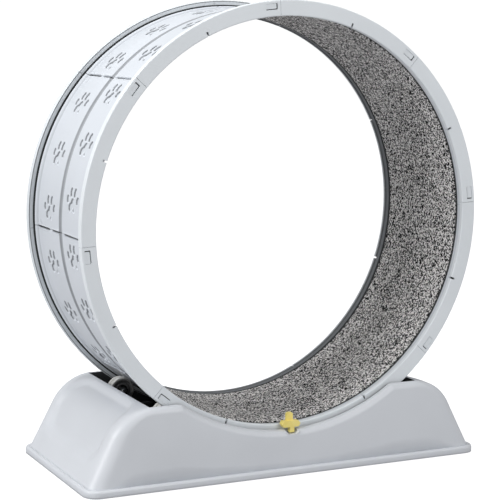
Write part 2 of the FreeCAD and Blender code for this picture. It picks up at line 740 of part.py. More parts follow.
screw = new_body("screw_master")
bind(screw, "Placement.Base.x", -roller_x)
bind(screw, "Placement.Base.y", -S.screw_reach)
screw_tip = carrier_top - S.screw_length


screw_outline = screw.newObject("Sketcher::SketchObject", "screw_outline")
screw_outline.AttachmentSupport = [(origin_plane(screw, "XZ_Plane"), "")]
screw_outline.MapMode = "FlatFace"
draw(screw_outline, [[
    (Size(0), screw_tip), (S.screw_radius / 3, screw_tip), (S.screw_radius, screw_tip + S.screw_point),
    (S.screw_radius, carrier_top), (S.screw_head_radius, carrier_top),
    (S.screw_head_radius, screw_top - S.screw_head_chamfer),
    (S.screw_head_radius - S.screw_head_chamfer, screw_top), (Size(0), screw_top),
]])
screw_turned = screw.newObject("PartDesign::Revolution", "shank_and_head")
screw_turned.Profile = screw_outline
screw_turned.ReferenceAxis = (screw_outline, ["V_Axis"])
screw.Tip = screw_turned
subparts.append(grouped("carrier_screws", list(four_places(screw).values())))

# ---- base shell ----
# One hollow moulding, open below: a long hump with a saddle for the drum, a flange round its foot,
# a well with a pocket for each pair of rollers, a dish in each end and a notch in the front lip.


def hump(name, inset, depth_inset, rim_round):
    """The hump's solid with its faces moved in by inset, and rounded along its long edges if asked."""
    steep, shallow = S.end_slope, S.crown_slope
    share = inset / (1 + cosine(steep - shallow))
    crown_x = S.crown_x - share * (sine(steep) + sine(shallow))
    crown_z = S.crown_height - share * (cosine(steep) + cosine(shallow))
    foot_x = crown_x + (crown_z - S.floor_gap) / tangent(steep)
    level_x = S.level_start - inset * tangent(shallow / 2)
    level_z = S.crown_height + (S.crown_x - S.level_start) * tangent(shallow) - inset
    outline = doc.addObject("Sketcher::SketchObject", name + "_outline")
    outline.Placement = Placement(Vector(), Rotation(X, 90))
    draw(outline, [[
        (-foot_x, S.floor_gap), (foot_x, S.floor_gap), (crown_x, crown_z),
        (level_x, level_z), (-level_x, level_z), (-crown_x, crown_z),
    ]])
    block = doc.addObject("Part::Extrusion", name + "_block")
    block.Base = outline
    block.DirMode = "Normal"
    block.Solid = True
    block.Symmetric = True
    bind(block, "LengthFwd", (S.side_depth_low - depth_inset + S.base_wall) * 2)
    low, high = S.side_depth_low - depth_inset, S.side_depth_high - depth_inset
    reach = S.flange_half_length
    draft = primitive("Part::Wedge", name + "_draft", turn=Rotation(X, 90),
                      Xmin=-reach, Xmax=reach, X2min=-reach, X2max=reach, Ymin=Size(0),
                      Ymax=S.draft_height, Zmin=-low, Zmax=low,
                      Z2min=-high, Z2max=high)
    drafted = joined("Part::Common", name + "_drafted", block, draft)
    saddle = primitive("Part::Cylinder", name + "_saddle", (0, -S.clear_height, S.axle_height),
                       Rotation(X, -90), Radius=S.saddle_radius + inset, Height=S.clear_height * 2)
    sharp = joined("Part::Cut", name + "_sharp", drafted, saddle)
    crown_radius, lip_radius, bend = S.crown_round - inset, S.lip_round - inset, S.level_bend - inset

    def cross_edges(edge):
        centre = edge.CenterOfMass
        if abs(centre.y) > 1:
            return None
        if abs(abs(centre.x) - crown_x.value) < 1:
            return crown_radius, crown_radius
        if abs(abs(centre.x) - level_x.value) < 1:
            return bend, bend
        if centre.z > crown_z.value and abs(centre.x) > 1:
            return lip_radius, lip_radius
        return None

    crowned = rounded(name + "_crowned", sharp, cross_edges)
    if not rim_round:
        return crowned

    def rim_edges(edge):
        if abs(edge.CenterOfMass.y) < high.value / 2 or edge.CenterOfMass.z < S.flange_top.value:
            return None
        wide, narrow = (S.corner_round - inset).value, (S.edge_round - inset).value
        reach_of_round = crown_radius * tangent((steep - shallow) / 2)
        narrow_end = (crown_x - reach_of_round * cosine(shallow)).value
        wide_end = (crown_x + reach_of_round * cosine(steep)).value

        def radius_at(vertex):
            share = (abs(vertex.Point.x) - narrow_end) / (wide_end - narrow_end)
            return narrow + (wide - narrow) * min(max(share, 0), 1)

        return radius_at(edge.firstVertex()), radius_at(edge.lastVertex())

    return rounded(name + "_rounded", crowned, rim_edges)


def flange(name, inset):
    """The flange's solid, moved in by inset."""
    length, depth = S.flange_half_length - inset, S.flange_half_depth - inset
    block = primitive("Part::Box", name + "_block", (-length, -depth, S.floor_gap), Length=length * 2,
                      Width=depth * 2, Height=S.flange_top - inset - S.floor_gap)
    upright_edges = rounded(name + "_corners", block, lambda edge: (
        (S.flange_corner - inset,) * 2 if abs(edge.tangentAt(edge.FirstParameter).z) > 0.9 else None))
    top = (S.flange_top - inset).value
    return rounded(name + "_edge", upright_edges, lambda edge: (
        (S.flange_edge - inset,) * 2 if abs(edge.CenterOfMass.z - top) < 0.01 else None))


def well(name, growth):
    """The space for the drum and the roller pockets, with its walls moved out by growth."""
    half_depth, half_length = S.well_half_depth + growth, S.well_half_length + growth
    drum_space = primitive("Part::Cylinder", name + "_drum", (0, -half_depth, S.axle_height),
                           Rotation(X, -90), Radius=S.well_radius + growth, Height=half_depth * 2)
    crop = primitive("Part::Box", name + "_crop", (-half_length, -half_depth, Size(0)),
                     Length=half_length * 2, Width=half_depth * 2, Height=S.clear_height)
    low = S.pocket_floor - growth
    left = primitive("Part::Box", name + "_pocket_left", (-half_length, -half_depth, low),
                     Length=half_length - S.pocket_start, Width=half_depth * 2, Height=S.draft_height)
    right = primitive("Part::Box", name + "_pocket_right", (S.pocket_start, -half_depth, low),
                      Length=half_length - S.pocket_start, Width=half_depth * 2, Height=S.draft_height)
    middle = joined("Part::Common", name + "_middle", drum_space, crop)
    return all_fused(name, [middle, left, right])


def dish(name, growth):
    """The dish in the right end, with its walls moved in by growth."""
    slope = tangent(S.dish_ramp_slope)
    inner_x = S.dish_start - growth
    outer_x = S.flange_half_length
    low = S.dish_ramp_height - growth / cosine(S.dish_ramp_slope)
    window = doc.addObject("Sketcher::SketchObject", name + "_outline")
    window.Placement = Placement(Vector(), Rotation(X, 90))
    draw(window, [[
        (inner_x, low + (S.dish_ramp_x - inner_x) * slope),
        (outer_x, low - (outer_x - S.dish_ramp_x) * slope),
        (outer_x, S.clear_height), (inner_x, S.clear_height),
    ]])
    block = doc.addObject("Part::Extrusion", name + "_block")
    block.Base = window
    block.DirMode = "Normal"
    block.Solid = True
    block.Symmetric = True
    bind(block, "LengthFwd", (S.dish_half_depth + growth) * 2)
    corner = S.dish_corner + growth

    def lower_corners(edge):
        centre = edge.CenterOfMass
        along = abs(edge.tangentAt(edge.FirstParameter).x) > 0.1
        lower_side = abs(centre.y) > 1 and centre.z < S.draft_height.value
        return (corner, corner) if along and lower_side else None

    shaped = rounded(name + "_shaped", block, lower_corners)
    kept = hump(name + "_floor", S.dish_depth + growth, -S.dish_depth, False)
    return joined("Part::Cut", name, shaped, kept)


outer = all_fused("base_outer", [hump("outer_hump", Size(0), Size(0), True), flange("outer_flange", Size(0))])
dish_right = dish("dish_right", Size(0))
dish_wall_right = dish("dish_wall_right", S.base_wall)
kept_solid = [well("well_wall", S.base_wall), dish_wall_right, mirrored("dish_wall_left", dish_wall_right, X)]
holes = [well("well", Size(0)), dish_right, mirrored("dish_left", dish_right, X)]

post = primitive("Part::Cylinder", "post", (-S.foot_x, -S.foot_y, Size(0)), Radius=S.post_radius,
                 Height=S.draft_height)
bore = primitive("Part::Cylinder", "post_bore", (-S.foot_x, -S.foot_y, Size(0)), Radius=S.post_bore,
                 Height=S.post_hollow)
seat = primitive("Part::Cylinder", "pad_seat", (-S.foot_x, -S.foot_y, Size(0)),
                 Radius=S.pad_radius + S.pad_play, Height=S.pad_height)
kept_solid += four_places(post).values()
holes += four_places(all_fused("post_holes", [bore, seat])).values()

boss = primitive("Part::Cylinder", "boss", (-roller_x, -S.screw_reach, S.pocket_floor - S.boss_depth),
                 Radius=S.boss_radius, Height=S.boss_depth)
boss_bore = primitive("Part::Cylinder", "boss_bore",
                      (-roller_x, -S.screw_reach, S.pocket_floor - S.boss_depth + S.boss_end),
                      Radius=S.screw_radius + S.hub_play, Height=S.boss_depth)
kept_solid += four_places(boss).values()
holes += four_places(boss_bore).values()

# the notch: its block reaches through the lip's whole depth, and its lower corners are cut off
lip_low = S.axle_height - S.saddle_radius
block_low = S.notch_bottom - S.notch_corner
notch_block = doc.addObject("Sketcher::SketchObject", "notch_block_outline")
notch_outline = doc.addObject("Sketcher::SketchObject", "notch_outline")
block_left, block_right = S.notch_x - S.notch_block_half, S.notch_x + S.notch_block_half
draw(notch_block, [[
    (block_left, block_low), (block_right, block_low),
    (block_right, lip_low + S.base_wall), (block_left, lip_low + S.base_wall),
]])
notch_left, notch_right = S.notch_x - S.notch_half_width, S.notch_x + S.notch_half_width
corner_top, notch_open = S.notch_bottom + S.notch_corner, lip_low + S.base_wall * 2
draw(notch_outline, [[
    (notch_left + S.notch_corner, S.notch_bottom), (notch_right - S.notch_corner, S.notch_bottom),
    (notch_right, corner_top), (notch_right, notch_open), (notch_left, notch_open), (notch_left, corner_top),
]])
for outline, near, far, into in ((notch_block, S.well_half_depth, S.side_depth_low, kept_solid),
                                 (notch_outline, S.well_half_depth - S.base_wall,
                                  S.side_depth_low + S.base_wall, holes)):
    outline.Placement = Placement(Vector(), Rotation(X, 90))
    bind(outline, "Placement.Base.y", -near)
    prism = doc.addObject("Part::Extrusion", outline.Name + "_prism")
    prism.Base = outline
    prism.DirMode = "Normal"
    prism.Solid = True
    bind(prism, "LengthFwd", far - near)
    into.append(prism)

inner = all_fused("base_inner", [hump("inner_hump", S.base_wall, S.base_wall, True),
                                 flange("inner_flange", S.base_wall)])
hollow = joined("Part::Cut", "base_hollow", inner, all_fused("base_kept", kept_solid))
base_shell = joined("Part::Cut", "base_shell", outer, all_fused("base_holes", [hollow] + holes))
subparts.append(base_shell)

# ---- feet ----
pad = primitive("Part::Cylinder", "pad_master", (-S.foot_x, -S.foot_y, Size(0)), Radius=S.pad_radius,
                Height=S.pad_height)
subparts.append(grouped("rubber_feet", list(four_places(pad).values())))

# ---- lock key ----
# The yellow key stands in the notch: a bar across the lip with pointed ends, a grip over it and a
# peg below, a little to the right of the middle.

key_bar_top = S.key_bar_bottom + S.key_bar_height
bar_middle = S.key_bar_bottom + S.key_bar_height / 2
grip_top = key_bar_top + S.key_grip_height
bar_left, bar_right = S.notch_x - S.key_bar_half, S.notch_x + S.key_bar_half
grip_left, grip_right = S.notch_x - S.key_grip_half, S.notch_x + S.key_grip_half
peg_middle = S.notch_x + S.key_peg_x
peg_bottom = S.notch_bottom + S.key_peg_gap
lock_key = new_body("lock_key")
padded(lock_key, "bar", "XZ_Plane", [[
    (bar_left, bar_middle), (bar_left + S.key_corner, S.key_bar_bottom),
    (bar_right - S.key_corner, S.key_bar_bottom), (bar_right, bar_middle),
    (bar_right - S.key_corner, key_bar_top), (bar_left + S.key_corner, key_bar_top),
]], S.key_bar_depth, S.key_back)
padded(lock_key, "grip", "XZ_Plane", [[
    (grip_left, key_bar_top - S.reach), (grip_right, key_bar_top - S.reach),
    (grip_right, grip_top - S.key_corner), (grip_right - S.key_corner, grip_top),
    (grip_left + S.key_corner, grip_top), (grip_left, grip_top - S.key_corner),
]], S.key_grip_depth, S.key_back)
padded(lock_key, "peg", "XZ_Plane", [[
    (peg_middle - S.key_peg_half, peg_bottom), (peg_middle + S.key_peg_half, peg_bottom),
    (peg_middle + S.key_peg_half, S.key_bar_bottom + S.reach),
    (peg_middle - S.key_peg_half, S.key_bar_bottom + S.reach),
]], S.key_peg_depth, S.key_peg_back)
subparts.append(lock_key)

# ---- check and write ----
doc.recompute()
for thing in doc.Objects:
    if "Invalid" in thing.State or "Error" in thing.State:
        raise RuntimeError(f"{thing.Name} failed: {thing.State}")
os.makedirs("parts", exist_ok=True)
for part in subparts:
    shape = part.Shape
    if shape.isNull() or not shape.isValid() or shape.Volume <= 0:
        raise RuntimeError(f"{part.Label} has no valid solid")
    shape.exportStep(f"parts/{part.Label}.step")
    print(part.Label, "solids", len(shape.Solids), "volume", round(shape.Volume / 1000, 2), "cm3")
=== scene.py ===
"""A cat exercise wheel: an eight-segment drum on four rollers in a long plastic base.

Metres. +Z is up, +X runs along the base, -Y is the front. Angles round the drum count clockwise
from its top, seen from the front.
"""
import json
import math

import bmesh
import bpy
import numpy as np
from mathutils import Euler, Matrix, Vector


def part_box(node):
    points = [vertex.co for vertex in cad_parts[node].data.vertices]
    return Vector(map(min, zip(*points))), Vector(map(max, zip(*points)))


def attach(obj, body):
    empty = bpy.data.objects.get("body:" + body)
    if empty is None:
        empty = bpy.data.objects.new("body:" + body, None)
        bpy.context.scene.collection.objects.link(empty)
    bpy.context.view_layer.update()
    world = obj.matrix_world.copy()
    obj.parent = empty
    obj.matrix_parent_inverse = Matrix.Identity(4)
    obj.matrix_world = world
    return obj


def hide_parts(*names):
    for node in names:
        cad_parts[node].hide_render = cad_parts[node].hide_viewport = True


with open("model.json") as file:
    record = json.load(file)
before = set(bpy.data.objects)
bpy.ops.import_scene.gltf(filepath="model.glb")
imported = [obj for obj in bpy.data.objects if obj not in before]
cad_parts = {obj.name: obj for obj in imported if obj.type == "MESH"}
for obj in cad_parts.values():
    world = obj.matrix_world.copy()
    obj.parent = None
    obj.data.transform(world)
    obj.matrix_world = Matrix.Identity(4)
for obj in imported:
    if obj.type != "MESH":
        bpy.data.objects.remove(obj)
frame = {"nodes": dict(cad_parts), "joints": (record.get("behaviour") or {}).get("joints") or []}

scene = bpy.context.scene
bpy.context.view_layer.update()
nodes = frame["nodes"]
mm = 0.001


# ---- studio ----
# A pale seamless floor and large soft boxes, seen through a long lens from the front left and a
# little above. The main light comes from the left and above, so the front is a step darker.

scene.view_settings.view_transform = "Standard"

camera = bpy.data.objects.new("camera", bpy.data.cameras.new("camera"))
camera.data.sensor_width = 36
camera.data.lens = 115.3
camera.data.clip_end = 50
heading, dip, roll = (math.radians(angle) for angle in (26.237, 8.165, 0.770))
eye = (-1.3338, -2.6929, 0.8242)
camera.matrix_world = (Matrix.Translation(eye)
                       @ Euler((math.pi / 2 - dip, 0, -heading)).to_matrix().to_4x4()
                       @ Matrix.Rotation(roll, 4, "Z"))
scene.collection.objects.link(camera)
scene.camera = camera


class Socket:
    """A shader socket in an expression: + - and * with it and a number or socket add the Math nodes."""

    def __init__(self, tree, socket):
        self.tree, self.socket = tree, socket

    def maths(self, operation, *values):
        """A Math node on this value and the others."""
        return Nodes(self.tree).add("Math", {"operation": operation}, dict(enumerate((self, *values))))

    def __add__(self, other):
        return self.maths("ADD", other)

    def __sub__(self, other):
        return self.maths("SUBTRACT", other)

    def __mul__(self, other):
        return self.maths("MULTIPLY", other)

    def __rsub__(self, other):
        return self * -1 + other

    __radd__, __rmul__ = __add__, __mul__

    def step(self, low, high):
        """0 below low, 1 above high and a smooth rise between them."""
        return Nodes(self.tree).add("MapRange", {"interpolation_type": "SMOOTHSTEP"},
                                    {"Value": self, "From Min": low, "From Max": high})


class Nodes:
    """Adds shader nodes to one tree."""

    def __init__(self, tree):
        self.tree = tree

    def add(self, kind, settings=None, inputs=None, output=0):
        """A node of a type: its settings first, then the values or links of its sockets."""
        node = self.tree.nodes.new("ShaderNode" + kind)
        for name, value in (settings or {}).items():
            if name == "stops":
                elements = node.color_ramp.elements
                for number, (place, colour) in enumerate(value):
                    stop = elements[number] if number < len(elements) else elements.new(place)
                    stop.position, stop.color = place, (*colour, 1)
            else:
                setattr(node, name, value)
        for name, value in (inputs or {}).items():
            if isinstance(value, Socket):
                self.tree.links.new(value.socket, node.inputs[name])
            else:
                node.inputs[name].default_value = value
        return Socket(self.tree, node.outputs[output])

    def place(self):
        """Object coordinates, in metres."""
        return self.add("TexCoord", output="Object")

    def noise(self, scale, detail=2.0, stretch=(1, 1, 1)):
        """Noise of about 1/scale metres a blob, on Object coordinates drawn out by stretch."""
        spread = self.add("Mapping", {}, {"Vector": self.place(), "Scale": stretch})
        return self.add("TexNoise", {}, {"Vector": spread, "Scale": scale, "Detail": detail})

    def axes(self):
        """The three Object coordinates."""
        place = self.place()
        return [self.add("SeparateXYZ", {}, {"Vector": place}, output=axis) for axis in range(3)]

    def mix(self, share, low, high):
        """From one colour to another."""
        return self.add("Mix", {"data_type": "RGBA"}, {"Factor": share, 6: low, 7: high}, output=2)

    def bump(self, height, metres, normal=None):
        """A surface raised by height times that many metres."""
        inputs = {"Height": height, "Distance": metres, "Strength": 1.0}
        if normal:
            inputs["Normal"] = normal
        return self.add("Bump", {}, inputs)


def material(name, finish, **constants):
    """A material whose shader sockets take what finish(nodes) returns; constants stay fixed."""
    made = bpy.data.materials.new(name)
    made.use_nodes = True
    shader = made.node_tree.nodes["Principled BSDF"]
    for socket, value in constants.items():
        shader.inputs[socket.replace("_", " ")].default_value = value
    for socket, value in finish(Nodes(made.node_tree)).items():
        made.node_tree.links.new(value.socket, shader.inputs[socket])
    return made


world = bpy.data.worlds.new("studio")
scene.world = world
world.use_nodes = True
world_nodes = Nodes(world.node_tree)
seen_directly = world_nodes.add("LightPath")
sky = world_nodes.add("Background", {}, {"Color": (1, 1, 1, 1), "Strength": seen_directly * 0.65 + 0.4})
world.node_tree.links.new(sky.socket, world.node_tree.nodes["World Output"].inputs["Surface"])


def softbox(name, place, aim, size, power):
    """A square area light at place, turned towards aim."""
    lamp = bpy.data.objects.new(name, bpy.data.lights.new(name, "AREA"))
    lamp.data.size = size
    lamp.data.energy = power
    lamp.location = place
    lamp.rotation_euler = (Vector(aim) - Vector(place)).to_track_quat("-Z", "Y").to_euler()
    scene.collection.objects.link(lamp)


softbox("left_light", (-2.9, -0.3, 1.7), (0, 0, 0.4), 1.1, 52)
softbox("front_light", (0.9, -3.2, 1.5), (0, 0, 0.4), 1.8, 34)
softbox("top_light", (-0.3, 0.1, 3.0), (0, 0, 0.2), 1.2, 36)

floor_half = 9
floor_mesh = bpy.data.meshes.new("floor")
floor_mesh.from_pydata([(side_x * floor_half, side_y * floor_half, 0) for side_x, side_y in
                        ((-1, -1), (1, -1), (1, 1), (-1, 1))], [], [(0, 1, 2, 3)])
studio_floor = bpy.data.objects.new("floor", floor_mesh)
scene.collection.objects.link(studio_floor)


def paper(n):
    """White to the camera, and a dim reflector for the part."""
    seen = n.add("LightPath")
    return {"Base Color": n.mix(n.noise(3), (0.36, 0.36, 0.37, 1), (0.4, 0.4, 0.41, 1)),
            "Emission Color": n.mix(seen, (0.06, 0.06, 0.06, 1), (0.93, 0.93, 0.93, 1))}


floor_mesh.materials.append(material("floor_paper", paper, Roughness=0.9, Emission_Strength=1.0))


# ---- base shell ----
# One hollow moulding of satin polypropylene: a hump at each end, a saddle for the drum between
# them, a flange round the foot and a well with pockets for the rollers.


def moulded(name, tint, painted_shade=None, wear=None):
    """Satin plastic with a fine grain, a drifting tint and shine and faint scuffs.

    It is darker and smoother where wear(n) is 1. Where its third argument's mask is 1 it is painted nearly
    black and dull: painted shade and shadow.
    """

    def finish(n):
        drift = n.noise(6, 3).step(0.3, 0.7)
        scuffs = n.noise(60, 3, (1, 0.12, 1)).step(0.66, 0.76)
        grain = n.bump(n.noise(1400, 1), 0.03 * mm)
        flow = n.bump(n.noise(9, 1), 0.6 * mm, grain)
        colour = n.mix(drift, (*[channel * 0.96 for channel in tint], 1), (*tint, 1))
        shine = drift * 0.07 + scuffs * 0.1 + 0.36
        if wear:
            worn = wear(n)
            colour = n.mix(worn * 0.5, colour, (*[channel * 0.9 for channel in tint], 1))
            shine = shine - worn * 0.1
        # Painted shade and shadow: the mask turns the colour nearly black and dull where shade falls.
        if painted_shade:
            dark = painted_shade(n)
            colour = n.mix(dark, colour, (0.03, 0.033, 0.035, 1))
            shine = shine + dark * 0.3
        return {"Base Color": colour, "Roughness": shine, "Normal": flow}

    return material(name, finish, IOR=1.49)


def dressed(name, finish):
    """Give a carried-over solid its finish."""
    data = nodes[name].data
    data.materials.clear()
    data.materials.append(finish)


def rise(value, low, high):
    """0 below low, 1 above high, with a smooth step between."""
    share = np.clip((value - low) / (high - low), 0, 1)
    return share * share * (3 - 2 * share)


def mesh_piece(name, grids, finish, sharp=35):
    """One mesh of quads between neighbours on grids of points.

    Each grid is (x, y, z, closed round its rows, closed round its columns, capped at both ends).
    """
    points, faces, first = [], [], 0
    for x, y, z, closed_rows, closed_columns, capped in grids:
        rows, columns = x.shape
        number = first + np.arange(rows * columns).reshape(rows, columns)
        if capped:
            faces += [number[0, ::-1].tolist(), number[-1].tolist()]
        if closed_rows:
            number = np.vstack([number, number[:1]])
        if closed_columns:
            number = np.hstack([number, number[:, :1]])
        quads = np.stack([number[:-1, :-1], number[:-1, 1:], number[1:, 1:], number[1:, :-1]], -1)
        faces += quads.reshape(-1, 4).tolist()
        points += np.stack([x, y, z], -1).reshape(-1, 3).tolist()
        first += rows * columns
    mesh = bpy.data.meshes.new(name)
    mesh.from_pydata(points, [], faces)
    work = bmesh.new()
    work.from_mesh(mesh)
    bmesh.ops.remove_doubles(work, verts=work.verts, dist=1e-6)
    bmesh.ops.dissolve_degenerate(work, edges=work.edges, dist=1e-7)
    bmesh.ops.recalc_face_normals(work, faces=work.faces)
    if work.calc_volume(signed=True) < 0:
        bmesh.ops.reverse_faces(work, faces=work.faces)
    work.to_mesh(mesh)
    work.free()
    mesh.shade_smooth()
    mesh.set_sharp_from_angle(angle=math.radians(sharp))
    mesh.materials.append(finish)
    piece = bpy.data.objects.new(name, mesh)
    scene.collection.objects.link(piece)
    return piece


axle = frame["joints"][0]["pos_m"][2]
saddle_radius, well_radius = 379.5 * mm, 410 * mm
level_x, crown_x, crown_z = 274 * mm, 331 * mm, 137.5 * mm
shallow, steep = math.radians(10.8), math.radians(63.1)
level_z = crown_z + (crown_x - level_x) * math.tan(shallow)
well_y, pocket_x, pocket_z = 152 * mm, 150 * mm, 80 * mm
brim = 1.2 * mm
wall_foot_y, wall_draft = 173.5 * mm, 8.3 / 160
wall_low, flange_top = 10 * mm, 14.5 * mm


def tilted(middle, radius, start, end, count):
    """Points of an arc of the hump's outline along X: their x, z and the tilt of the face there."""
    tilt = np.linspace(start, end, count)
    return np.stack([middle[0] + radius * np.sin(tilt), middle[1] + radius * np.cos(tilt), tilt], -1)


lip_round, bend_round, crown_round = 16 * mm, 60 * mm, 92 * mm
lip_middle = (math.sqrt((saddle_radius + lip_round)**2 - (axle - level_z + lip_round)**2),
              level_z - lip_round)
saddle_end = math.atan2(lip_middle[0], axle - lip_middle[1])
saddle = tilted((0, axle), -saddle_radius, 0, -saddle_end, 40)
bend_reach = bend_round * math.tan(shallow / 2)
bend = tilted((level_x - bend_reach, level_z - bend_round), bend_round, 0, shallow, 9)
crown_reach = crown_round * math.tan((steep - shallow) / 2)
crown_middle = (crown_x - crown_reach * math.cos(shallow) - crown_round * math.sin(shallow),
                crown_z + crown_reach * math.sin(shallow) - crown_round * math.cos(shallow))
crown = tilted(crown_middle, crown_round, shallow, steep, 26)
slope_foot = 14 * mm
slope_foot_x = crown[-1][0] + (crown[-1][1] - slope_foot) / math.tan(steep)
slope = np.linspace(crown[-1], (slope_foot_x, slope_foot, steep), 26)
outline = np.vstack([saddle, tilted(lip_middle, lip_round, -saddle_end, 0, 7)[1:], bend,
                     np.linspace(bend[-1], crown[0], 4)[1:-1], crown, slope[1:]])
outline_run = np.concatenate([[0], np.cumsum(np.hypot(*np.diff(outline[:, :2], axis=0).T))])

narrow, wide = 12 * mm, 26 * mm
edge_turn = np.pi / 2 * (1 - np.linspace(0, 1, 10))
brim_turn = np.radians([0, 30, 60, 90])
foot_count, inner_count = 4, 42
dish_top_x, dish_above_foot, dish_half_y, dish_corner = 290 * mm, 47 * mm, 126 * mm, 34 * mm
dish_depth, dish_soft_top, dish_soft_foot = 8 * mm, 9 * mm, 15 * mm
notch_x, notch_half, notch_bottom, notch_corner, notch_edge = 3 * mm, 12 * mm, 75 * mm, 4.5 * mm, 0.8 * mm


def half_depth(z):
    """Half the shell's depth at height z, where the front and back walls lean in evenly."""
    return wall_foot_y - z * wall_draft


def dish_sink(run, y):
    """How far the dish in an end sinks the face: a smooth step at a rounded box's edge, on run and y."""
    top, foot = np.interp(dish_top_x, outline[:, 0], outline_run), outline_run[-1] - dish_above_foot
    middle = (top + foot) / 2
    past_run = np.abs(run - middle) - (foot - top) / 2 + dish_corner
    past_y = np.abs(y) - dish_half_y + dish_corner
    past = np.hypot(np.clip(past_run, 0, None), np.clip(past_y, 0, None)) - dish_corner
    past = past + np.clip(np.maximum(past_run, past_y), None, 0)
    width = dish_soft_top + (dish_soft_foot - dish_soft_top) * rise(run, middle, foot)
    return dish_depth * rise(-past, -width, width)


def edge_of(top_x):
    """Radius of the hump's long edges, which widens round the crown."""
    return narrow + (wide - narrow) * np.clip((top_x - crown[0][0]) / (crown[-1][0] - crown[0][0]), 0, 1)


def under_roof(x, y):
    """Height 2 mm inside the hump's roof over (x, y): the outline less its rounding and the dish."""
    x, y = np.abs(x), np.abs(y)
    top_z, tilt, run = (np.interp(x, outline[:, 0], along) for along in (*outline[:, 1:].T, outline_run))
    past = np.clip(y - half_depth(top_z) + edge_of(x), 0, None)
    rounding = edge_of(x) - np.sqrt(edge_of(x)**2 - past**2)
    return top_z - (rounding + dish_sink(run, y) + 2 * mm) / np.cos(tilt)


def column_of(x, kind, cut=None):
    """One section of the shell at x, from the foot of its wall over the rounded edge to the middle.

    kind is "crown" for the dished roof, "well" for the brim and the well, or how far a brim has
    sunk along the well's end. cut is the height of the key's notch, where the section crosses it.
    """
    top_x, top_z, tilt = (np.interp(x, outline[:, 0], outline[:, axis]) for axis in range(3))
    edge = edge_of(top_x)
    if cut:
        top_z, tilt, edge = cut, 0, notch_edge
    wall_x, wall_z = top_x - edge * math.sin(tilt), top_z - edge * math.cos(tilt)
    foot = np.linspace(min(wall_low, wall_z), wall_z, foot_count + 1)[:-1]
    xs = [np.full(foot_count, wall_x), top_x - edge * math.sin(tilt) * (1 - np.cos(edge_turn))]
    ys = [half_depth(foot), half_depth(wall_z) - edge + edge * np.sin(edge_turn)]
    zs = [foot, top_z - edge * math.cos(tilt) * (1 - np.cos(edge_turn))]
    if kind == "crown":
        y = (half_depth(wall_z) - edge) * (1 - np.arange(1, inner_count + 1) / inner_count)
        sink = dish_sink(np.interp(x, outline[:, 0], outline_run), y)
        xs.append(top_x - sink * math.sin(tilt))
        ys.append(y)
        zs.append(top_z - sink * math.cos(tilt))
    else:
        sink = brim if kind == "well" else kind
        rest = inner_count - len(brim_turn)
        if kind == "well":
            floor_z = axle - math.sqrt(well_radius**2 - x**2) if x < pocket_x else pocket_z
            inner_z = np.concatenate([np.linspace(top_z - brim, floor_z, 4)[1:], np.full(rest - 3, floor_z)])
            inner_y = np.concatenate([np.full(3, well_y), well_y * (1 - np.arange(1, rest - 2) / (rest - 3))])
        else:
            inner_z = np.full(rest, top_z - sink)
            inner_y = well_y * (1 - np.arange(1, rest + 1) / rest)
        xs.append(np.full(inner_count, top_x))
        ys += [well_y + brim * (1 - np.sin(brim_turn)), inner_y]
        zs += [top_z - sink * (1 - np.cos(brim_turn)), inner_z]
    return [np.concatenate(parts) for parts in (xs, ys, zs)]


def quarter(notch):
    """The shell's sections from the middle to an end; notch is how far the key's notch reaches, or 0."""
    in_well = outline[outline[:, 0] < level_x - 0.1 * mm][:, 0]
    in_well = np.sort(np.concatenate([in_well, [20 * mm]]))
    on_crown = outline[outline[:, 0] > level_x + brim + 0.5 * mm][:, 0]
    sections = []
    if notch:
        sections = [column_of(0, "well", notch_bottom), column_of(notch - notch_corner, "well", notch_bottom),
                    column_of(notch, "well", notch_bottom + notch_corner), column_of(notch, "well")]
        in_well = in_well[in_well > notch]
    sections += [column_of(x, "well") for x in in_well]
    sections += [column_of(level_x, "well"), column_of(level_x, brim),
                 column_of(level_x + brim * 0.3, brim * 0.3), column_of(level_x + brim, 0.0)]
    sections += [column_of(x, "crown") for x in on_crown]
    return np.array(sections).transpose(1, 0, 2)


def ring(sections, length, depth, corner, steps=9):
    """A closed ring of sections (in from the outline, height) round a rounded rectangle."""
    inset, height = np.array(sections).T
    turn = (np.linspace(0, math.pi / 2, steps) + np.arange(4)[:, None] * math.pi / 2).reshape(-1, 1)
    corner_x, corner_y = (np.repeat(signs, steps)[:, None] for signs in ((1, -1, -1, 1), (1, 1, -1, -1)))
    x = corner_x * (length - corner) + np.cos(turn) * (corner - inset)
    y = corner_y * (depth - corner) + np.sin(turn) * (corner - inset)
    return x, y, height + 0 * x


def tube(x, y, radius, foot, top):
    """A post or screw boss: a circle of points at (x, y) at its foot, and one at the top's heights."""
    turn = np.linspace(0, 2 * math.pi, 28, endpoint=False)[:, None]
    x = x + radius * np.cos(turn) + np.zeros((1, 2))
    y = y + radius * np.sin(turn) + np.zeros((1, 2))
    return x, y, foot + (top(x, y) - foot) * np.array([0, 1]) + 0 * x


